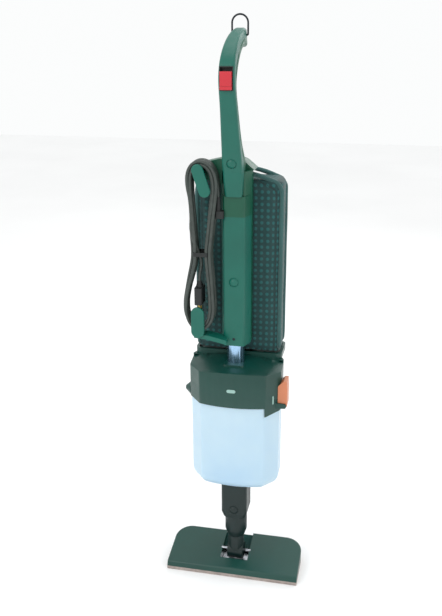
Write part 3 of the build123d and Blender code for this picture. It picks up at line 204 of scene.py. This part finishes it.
def highlit_dotted_cloth(name, colour):
    """Heavy bag cloth, woven in rows of raised dots, each dot's top painted lighter as a painted
    highlight.
    """
    s = Shader(name)
    parts = s.node("ShaderNodeSeparateXYZ")
    s.link(s.place, parts.inputs[0])
    around = s.node("ShaderNodeMath", operation="ADD")
    s.link(parts.outputs["X"], around.inputs[0])
    s.link(parts.outputs["Y"], around.inputs[1])
    flat = s.node("ShaderNodeCombineXYZ")
    s.link(around.outputs[0], flat.inputs["X"])
    s.link(parts.outputs["Z"], flat.inputs["Y"])
    cells = s.node("ShaderNodeTexVoronoi", voronoi_dimensions="2D", Scale=1000 / DOT_PITCH, Randomness=0.0)
    s.link(flat.outputs[0], cells.inputs["Vector"])
    dots = s.node("ShaderNodeMapRange")
    dots.inputs["From Min"].default_value = 0.34
    dots.inputs["From Max"].default_value = 0.2
    s.link(cells.outputs["Distance"], dots.inputs["Value"])
    weave = s.noise(900.0, 4.0)
    weave_and_dot_highlight = s.node("ShaderNodeMath", operation="MULTIPLY_ADD")
    s.link(weave, weave_and_dot_highlight.inputs[0])
    weave_and_dot_highlight.inputs[1].default_value = 0.3
    s.link(dots.outputs["Result"], weave_and_dot_highlight.inputs[2])
    # painted highlight: the raised dots are coloured up to 2.1 times lighter than the cloth; the weave
    # noise is the threads' own tone
    stops = [(0.0, shade(colour, 0.8)), (0.35, colour), (1.0, shade(colour, 2.1))]
    s.link(s.between(weave_and_dot_highlight.outputs[0], stops), s.surface.inputs["Base Color"])
    s.link(s.spread(s.noise(60.0, 4.0), 0.7, 0.84), s.surface.inputs["Roughness"])
    threads = s.bump(weave, 0.0003, 0.6)
    s.link(s.bump(dots.outputs["Result"], 0.0006, 0.7, threads), s.surface.inputs["Normal"])
    s.surface.inputs["Sheen Weight"].default_value = 0.15
    return s.material


def velvet(name, colour):
    """Short lint-lifting pile."""
    s = Shader(name)
    tufts = s.noise(1500.0, 4.0)
    s.link(s.between(tufts, [(0.3, shade(colour, 0.6)), (0.7, shade(colour, 1.3))]),
           s.surface.inputs["Base Color"])
    s.surface.inputs["Roughness"].default_value = 0.9
    s.link(s.bump(tufts, 0.0006, 0.8), s.surface.inputs["Normal"])
    s.surface.inputs["Sheen Weight"].default_value = 0.6
    return s.material


FINISHES = {
    "dark_green_plastic": plastic("green_moulded", linear(4, 62, 54), 0.36, coat=0.15),
    "neck_plastic": plastic("neck_moulded", linear(3, 30, 29), 0.42),
    "green_plastic": plastic("green_mid_moulded", linear(6, 82, 60), 0.4),
    "teal_plastic": plastic("teal_moulded", linear(6, 96, 82), 0.4),
    "white_plastic": tank_plastic(),
    "black_plastic": plastic("black_moulded", linear(26, 30, 30), 0.45),
    "badge_grey": plastic("badge_print", linear(150, 186, 178), 0.5),
    "beige_rubber": rubber("beige_bumper", linear(160, 148, 142)),
    "orange_plastic": plastic("orange_moulded", linear(206, 128, 92), 0.38),
    "red_plastic": plastic("red_moulded", linear(196, 36, 50), 0.33, coat=0.2),
    "bag_cloth": highlit_dotted_cloth("bag_cloth", linear(14, 60, 60)),
    "bag_piping": cloth("bag_piping", linear(48, 92, 90), 0.0008),
    "filter_paper": cloth("filter_paper", linear(204, 194, 170), 0.0006),
    "lint_velvet": velvet("lint_velvet", linear(112, 20, 26)),
    "grey_rubber": rubber("cord_jacket", linear(60, 68, 64), 0.5),
    "black_rubber": rubber("black_rubber", linear(28, 32, 32)),
    "steel": metal("steel", linear(176, 180, 186)),
    "dark_steel": metal("dark_steel", linear(52, 56, 60), 0.35),
    "chrome_steel": metal("tube_steel", linear(170, 206, 238), 0.22),
    "aluminium": metal("aluminium", linear(184, 187, 192), 0.32),
    "brass": metal("brass", linear(198, 170, 98), 0.25),
    "copper": metal("copper", linear(182, 104, 62), 0.3),
}


def finish(piece, slot):
    """Gives a piece the one finish of a record slot."""
    piece.data.materials.clear()
    piece.data.materials.append(FINISHES[slot])
    return piece


# every carried CAD node gets its procedural finish, and small rounds on its edges
EDGE_ROUND = {
    "nozzle_shell": 1.6, "sole_bumper": 1.2, "lower_housing": 1.2, "upper_housing": 1.4,
    "stick_cover": 1.2, "stick_channel": 0.8, "stem_socket": 1.0, "hook_bracket": 1.6,
    "dome_cap": 2.5, "latch_lever": 1.5, "bag_collar": 1.2, "plug_body": 1.6,
    "handle_front": 0.6, "handle_rear": 0.6, "neck_socket": 1.5,
}  # mm
SMALL_ROUND = 0.35  # every other node, mm
slot_of = {row["node"]: row["material_slot"] for row in frame["record"]["subparts"]}
for name, node in nodes.items():
    slot = slot_of[name]
    node.data.materials.clear()
    node.data.materials.append(FINISHES[slot])
    weld = node.modifiers.new("weld", "WELD")
    weld.merge_threshold = 0.000002
    bevel = node.modifiers.new("rounds", "BEVEL")
    bevel.width = EDGE_ROUND.get(name, SMALL_ROUND) * MM
    bevel.segments = 2
    bevel.limit_method = "ANGLE"
    bevel.angle_limit = math.radians(40)
    bevel.harden_normals = True


# ---------------------------------------------------------------- camera and light
CAMERA_AT = Vector((1.5 * math.sin(math.radians(11)), -1.5 * math.cos(math.radians(11)) + 0.023, 1.1502))
CAMERA_TURN = math.radians(12.295)  # left of straight ahead
CAMERA_DOWN = math.radians(20.4006)
CAMERA_ROLL = math.radians(-0.3813)
forward = Vector((-math.sin(CAMERA_TURN) * math.cos(CAMERA_DOWN),
                  math.cos(CAMERA_TURN) * math.cos(CAMERA_DOWN), -math.sin(CAMERA_DOWN)))
level = Vector((math.cos(CAMERA_TURN), math.sin(CAMERA_TURN), 0))
above = level.cross(forward)
right = level * math.cos(CAMERA_ROLL) + above * math.sin(CAMERA_ROLL)
up = right.cross(forward)
camera = bpy.data.objects.new("camera", bpy.data.cameras.new("camera"))
camera.data.lens = 46.83
camera.matrix_world = Matrix((right, up, -forward)).transposed().to_4x4()
camera.location = CAMERA_AT
bpy.context.collection.objects.link(camera)
bpy.context.scene.camera = camera

world = bpy.data.worlds.new("studio")
world.use_nodes = True
world.node_tree.nodes["Background"].inputs["Color"].default_value = (0.99, 1.0, 1.0, 1.0)
world.node_tree.nodes["Background"].inputs["Strength"].default_value = 0.98
bpy.context.scene.world = world
bpy.context.scene.view_settings.view_transform = "Standard"


def area_light(name, place, size, power, aim=(0, 0, 0.6)):
    """A soft rectangular studio lamp, turned towards a point."""
    lamp = bpy.data.objects.new(name, bpy.data.lights.new(name, "AREA"))
    lamp.data.shape = "RECTANGLE"
    lamp.data.size, lamp.data.size_y = size
    lamp.data.energy = power
    lamp.location = place
    lamp.rotation_euler = (Vector(aim) - Vector(place)).to_track_quat("-Z", "Y").to_euler()
    bpy.context.collection.objects.link(lamp)


area_light("key", (-1.3, -2.0, 2.1), (1.2, 1.2), 15)
area_light("fill", (1.9, -1.2, 1.3), (1.0, 1.6), 3)
area_light("top", (0.2, 0.3, 2.8), (1.6, 1.6), 10)
area_light("back", (0.6, 2.2, 1.7), (1.6, 1.2), 9)

floor_mesh = bpy.data.meshes.new("floor")
floor_mesh.from_pydata([(-6, -6, 0), (6, -6, 0), (6, 6, 0), (-6, 6, 0)], [], [(0, 1, 2, 3)])
floor = bpy.data.objects.new("floor", floor_mesh)
floor_finish = Shader("floor_pale")
floor_finish.link(floor_finish.between(floor_finish.noise(1.2, 3.0), [(0.3, linear(247, 247, 247)),
                                                                    (0.7, linear(252, 252, 252))]),
                  floor_finish.surface.inputs["Base Color"])
floor_finish.surface.inputs["Roughness"].default_value = 0.85
floor.data.materials.append(floor_finish.material)
bpy.context.collection.objects.link(floor)

# ---------------------------------------------------------------- cloth bag
BAG_HALF_W = 84.5
BAG_FRONT = 29.0
BAG_REAR = 91.0
BAG_FOOT = 500.0
BAG_SHOULDER = 845.0
BAG_ARCH = 17.0
BAG_CORNER = 15.0
SWELL_CAP = 0.005  # the most that the cloth may blow outwards, metres
BLOW_FRAMES = 20
DOT_RISE = 0.7


def bag_outline(half_w, front, rear, corner, steps=5):
    """A rounded rectangle seen from above, from the middle of the rear."""
    spots = []
    corners = ((half_w - corner, rear - corner, 90), (half_w - corner, front + corner, 0),
               (corner - half_w, front + corner, -90), (corner - half_w, rear - corner, -180))
    for mid_x, mid_y, start in corners:
        for k in range(steps + 1):
            turn = math.radians(start - 90 * k / steps)
            spots.append((mid_x + corner * math.cos(turn), mid_y + corner * math.sin(turn)))
    return spots


def bag_top(x):
    """The height of the bag's arched top, x across from its middle."""
    return BAG_SHOULDER + BAG_ARCH * (1 - (x / BAG_HALF_W) ** 2)


def bag_shell():
    """The sewn bag before it is blown out: a closed shell with an arched top."""
    outline = bag_outline(BAG_HALF_W, BAG_FRONT, BAG_REAR, BAG_CORNER)
    levels = 12
    made = bmesh.new()
    rows = []
    for k in range(levels + 1):
        row = []
        for x, y in outline:
            z = BAG_FOOT + (bag_top(x) - BAG_FOOT) * k / levels
            row.append(made.verts.new((x * MM, y * MM, z * MM)))
        rows.append(row)
    for low, high in zip(rows, rows[1:]):
        for i in range(len(outline)):
            after = (i + 1) % len(outline)
            made.faces.new((low[i], low[after], high[after], high[i]))
    made.faces.new(rows[0])
    made.faces.new(rows[-1])
    bmesh.ops.triangulate(made, faces=[f for f in made.faces if len(f.verts) > 4])
    bmesh.ops.recalc_face_normals(made, faces=made.faces)
    mesh = bpy.data.meshes.new("cloth_bag")
    made.to_mesh(mesh)
    made.free()
    return mesh


def apply_modifiers(piece):
    """Bakes a piece's modifiers into its mesh."""
    baked = bpy.data.meshes.new_from_object(piece.evaluated_get(bpy.context.evaluated_depsgraph_get()))
    piece.modifiers.clear()
    piece.data = baked


bag = bpy.data.objects.new("cloth_bag", bag_shell())
bpy.context.collection.objects.link(bag)
remesh = bag.modifiers.new("remesh", "REMESH")
remesh.mode = "VOXEL"
remesh.voxel_size = 0.0055
apply_modifiers(bag)
before = np.empty(len(bag.data.vertices) * 3)
bag.data.vertices.foreach_get("co", before)
before = before.reshape(-1, 3)
held = bag.vertex_groups.new(name="held")
held.add([v.index for v in bag.data.vertices if v.co.z < 0.507], 1.0, "REPLACE")
blown = bag.modifiers.new("cloth", "CLOTH")
blown.settings.quality = 5
blown.settings.mass = 0.25
blown.settings.tension_stiffness = 18
blown.settings.compression_stiffness = 8
blown.settings.bending_stiffness = 0.4
blown.settings.use_pressure = True
blown.settings.uniform_pressure_force = 4
blown.settings.vertex_group_mass = "held"
blown.settings.effector_weights.gravity = 0
blown.collision_settings.use_collision = False
blown.point_cache.frame_end = BLOW_FRAMES
for step in range(1, BLOW_FRAMES + 1):
    bpy.context.scene.frame_set(step)
apply_modifiers(bag)
bpy.context.scene.frame_set(1)
after = np.empty(len(bag.data.vertices) * 3)
bag.data.vertices.foreach_get("co", after)
moved = after.reshape(-1, 3) - before
outward = before - np.array((0.0, 0.5 * (BAG_FRONT + BAG_REAR) * MM, 0.0))
outward[:, 2] = np.maximum(0.0, before[:, 2] - 0.83) * 2
outward[:, 1] *= 2.6
outward /= np.maximum(np.linalg.norm(outward, axis=1, keepdims=True), 1e-9)
swell = np.clip((moved * outward).sum(axis=1), 0.0, SWELL_CAP)
after = before + outward * swell[:, None]
# long shallow sags between the foot and the shoulders, deepest where the cloth spans most
x, y, z = (after / MM).T
tall = np.clip((z - BAG_FOOT) / (BAG_SHOULDER - BAG_FOOT), 0, 1)
hang = np.sin(np.pi * tall)
wave = 1.3 * np.sin(x / 17 + 2.1 * tall) * np.sin(z / 61 + x / 90) + 0.7 * np.sin(z / 23 + x / 31 + y / 19)
after[:, 1] += np.sign(y - 60) * -0.8 * hang * np.abs(wave) * MM
after[:, 0] += np.sign(x) * -0.6 * hang * np.abs(wave) * (np.abs(x) > 60) * MM
after[:, 0] = np.clip(after[:, 0], -0.0872, 0.0872)
after[:, 1] = np.clip(after[:, 1], 0.0268, 0.0932)
after[:, 2] = np.clip(after[:, 2], 0.4992, 0.8685)
bag.data.vertices.foreach_set("co", after.ravel())
fine = bag.modifiers.new("fine", "SUBSURF")
fine.levels = fine.render_levels = 1
apply_modifiers(bag)
spots = np.empty(len(bag.data.vertices) * 3)
bag.data.vertices.foreach_get("co", spots)
spots = spots.reshape(-1, 3)
lean = np.empty(len(bag.data.vertices) * 3)
bag.data.vertices.foreach_get("normal", lean)
lean = lean.reshape(-1, 3)
# raised dots, where the cloth's own pattern has them
across = ((spots[:, 0] + spots[:, 1]) / MM / DOT_PITCH + 0.5) % 1.0 - 0.5
down = (spots[:, 2] / MM / DOT_PITCH + 0.5) % 1.0 - 0.5
dot = np.clip(1 - (np.hypot(across, down) * DOT_PITCH / 3.8) ** 2, 0, 1)
spots += lean * (dot * DOT_RISE * MM)[:, None]
bag.data.vertices.foreach_set("co", spots.ravel())
bag.data.shade_smooth()
finish(bag, "bag_cloth")
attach(bag, "cleaner")
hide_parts("bag_cover")


def edge_line(inset, corner=20.0, steps=7):
    """The bag's outline seen from the front, from its foot, over the top, to its other foot."""
    half_w = 87.2 - inset
    top = 849.0 - inset
    line = [(half_w, 502.0 + 34.0 * k) for k in range(10)]
    for k in range(steps + 1):
        turn = math.radians(90 * k / steps)
        line.append((half_w - corner + corner * math.cos(turn),
                     top - corner + corner * math.sin(turn) + 4.0 * k / steps))
    crown = [(x, top + 4.0 + 15.0 * (1 - (x / (half_w - corner)) ** 2)) for x in (45.0, 22.0, 0.0)]
    half = line + crown
    return half + [(-x, z) for x, z in reversed(half[:-1])]


def piping(name, y, inset, width, depth):
    """A folded cloth edge sewn along the bag's outline."""
    line = [Vector((x * MM, y * MM, z * MM)) for x, z in edge_line(inset)]
    made = bmesh.new()
    rings = []
    for i, spot in enumerate(line):
        run = (line[min(i + 1, len(line) - 1)] - line[max(i - 1, 0)]).normalized()
        out = run.cross(Vector((0, 1, 0))).normalized()
        swell = 1 + 0.09 * math.sin(i * 1.9) + 0.05 * math.sin(i * 4.3)
        ring = []
        for k in range(12):
            a = math.tau * k / 12
            offset = out * (math.cos(a) * width * swell * MM) + Vector((0, math.sin(a) * depth * MM, 0))
            ring.append(made.verts.new(spot + offset))
        rings.append(ring)
    for low, high in zip(rings, rings[1:]):
        for k in range(12):
            made.faces.new((low[k], low[(k + 1) % 12], high[(k + 1) % 12], high[k]))
    made.faces.new(rings[0])
    made.faces.new(rings[-1])
    bmesh.ops.recalc_face_normals(made, faces=made.faces)
    mesh = bpy.data.meshes.new(name)
    made.to_mesh(mesh)
    made.free()
    mesh.shade_smooth()
    piece = bpy.data.objects.new(name, mesh)
    bpy.context.collection.objects.link(piece)
    fine = piece.modifiers.new("fine", "SUBSURF")
    fine.levels = fine.render_levels = 1
    piece.data.materials.append(FINISHES["bag_piping"])
    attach(piece, "cleaner")
    return piece


piping("bag_piping_front", 34.0, 4.6, 4.6, 4.4)
piping("bag_piping_rear", 86.0, 4.6, 4.6, 4.4)

# stitches beside the piping, each laid on the cloth
bpy.context.view_layer.update()
made = bmesh.new()
for toward, y in ((1, 0.0), (-1, 120.0)):
    line = [Vector((x * MM, y * MM, z * MM)) for x, z in edge_line(14.5, 14.0)]
    for start, end in zip(line, line[1:]):
        run = end - start
        count = max(1, round(run.length / 0.0055))
        for k in range(count):
            spot = start + run * ((k + 0.5) / count)
            found, place, normal, _ = bag.ray_cast(spot, Vector((0, toward, 0)))
            if not found:
                continue
            turn = math.atan2(run.x, run.z)
            bmesh.ops.create_cube(made, size=1.0, matrix=(
                Matrix.Translation(place + normal * 0.0002) @ Matrix.Rotation(turn, 4, "Y")
                @ Matrix.Diagonal((0.0009, 0.0007, 0.0036, 1.0))))
stitch_mesh = bpy.data.meshes.new("bag_stitches")
made.to_mesh(stitch_mesh)
made.free()
stitches = bpy.data.objects.new("bag_stitches", stitch_mesh)
bpy.context.collection.objects.link(stitches)
finish(stitches, "black_rubber")
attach(stitches, "cleaner")

# ---------------------------------------------------------------- mains cord
CORD_R = 3.3 * MM
ROW_Y = (-31.7, -25.1, -18.5, -11.9)  # the hank's four layers, front to back
LAYER = 6.5  # from one turn to the next beside it
# the outer column's line round the two hooks, from the top, down the left, and up the right: (x, z)
DOWN_LEFT = ((-60, 886.8), (-71.5, 883), (-79, 869), (-80.2, 848), (-79, 820), (-77, 792),
             (-74.3, 755), (-71.5, 716), (-75, 692), (-81, 668),
             (-88, 645), (-92.5, 618), (-90.5, 590), (-79, 568.5))
UP_RIGHT = ((-62, 566.5), (-49.5, 579), (-44.6, 600), (-44.4, 622), (-46.8, 660), (-52.3, 716),
            (-48, 750), (-43.5, 785), (-38.5, 815), (-36.3, 848), (-39.5, 868), (-47.5, 882))
# which column (0 outer, 1 inner) and layer each pass down the left side lies in
PASSES = ((0, 2), (0, 3), (1, 3), (1, 2), (1, 1), (0, 1), (0, 0), (1, 0))
SLACK = (2.0, 0.4, 5.5, 8.0, 4.0, 0.0, 1.2, 7.0)  # how far each pass hangs in towards the middle, mm
LEAD = ((-29.5, -21, 826), (-29.5, -21, 850), (-37, -21, 875), (-55, -21, 886))
TAIL = ((-62.5, -21, 704), (-63.5, -22, 688), (-67, -21.75, 672), (-67, -21.75, 660))
draw = random.Random(7)


def inward(line):
    """The line one layer nearer the hank's middle, point for point."""
    moved = []
    for i, (x, z) in enumerate(line):
        x0, z0 = line[i - 1]
        x1, z1 = line[(i + 1) % len(line)]
        run = math.hypot(x1 - x0, z1 - z0)
        moved.append((x - LAYER * (z1 - z0) / run * -1, z + LAYER * (x1 - x0) / run * -1))
    return moved


ring = list(DOWN_LEFT + UP_RIGHT)
rings = (ring, inward(ring))


def hank_points():
    """The route's points from the stick, through every turn, to the plug."""
    points = list(LEAD)
    for turn, (column, layer) in enumerate(PASSES):
        last = turn == len(PASSES) - 1
        next_column, next_layer = PASSES[min(turn + 1, len(PASSES) - 1)]
        lean = draw.uniform(-0.6, 0.6)
        count = 7 if last else len(ring)
        for i in range(count):
            share = min(1.0, max(0.0, (i - 10) / 6))  # the change of place, round the lower hook
            share = share * share * (3 - 2 * share)
            x0, z0 = rings[column][i]
            x1, z1 = rings[next_column][i]
            x = x0 + (x1 - x0) * share
            z = z0 + (z1 - z0) * share
            y = ROW_Y[layer] + (ROW_Y[next_layer] - ROW_Y[layer]) * share
            wander = math.exp(-((z - 806) / 28) ** 2) + math.exp(-((z - 636) / 24) ** 2)
            towards = 1 if i < len(DOWN_LEFT) else -1
            points.append((x + (towards * SLACK[turn] + lean) * wander, y, z))
    return points + list(TAIL)


def nurbs(name, points, radius, body, slot):
    """A round cord on one smooth NURBS line."""
    curve = bpy.data.curves.new(name, "CURVE")
    curve.dimensions = "3D"
    spline = curve.splines.new("NURBS")
    spline.points.add(len(points) - 1)
    for point, (x, y, z) in zip(spline.points, points):
        point.co = (x * MM, y * MM, z * MM, 1)
    spline.order_u = 3
    spline.use_endpoint_u = True
    spline.resolution_u = 6
    curve.bevel_depth = radius
    curve.bevel_resolution = 4
    curve.use_fill_caps = True
    piece = bpy.data.objects.new(name, curve)
    bpy.context.collection.objects.link(piece)
    finish(piece, slot)
    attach(piece, body)
    return piece


cord = nurbs("mains_cord", hank_points(), CORD_R, "cleaner", "grey_rubber")
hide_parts("cord_hank", "cord_lead", "cord_tail")
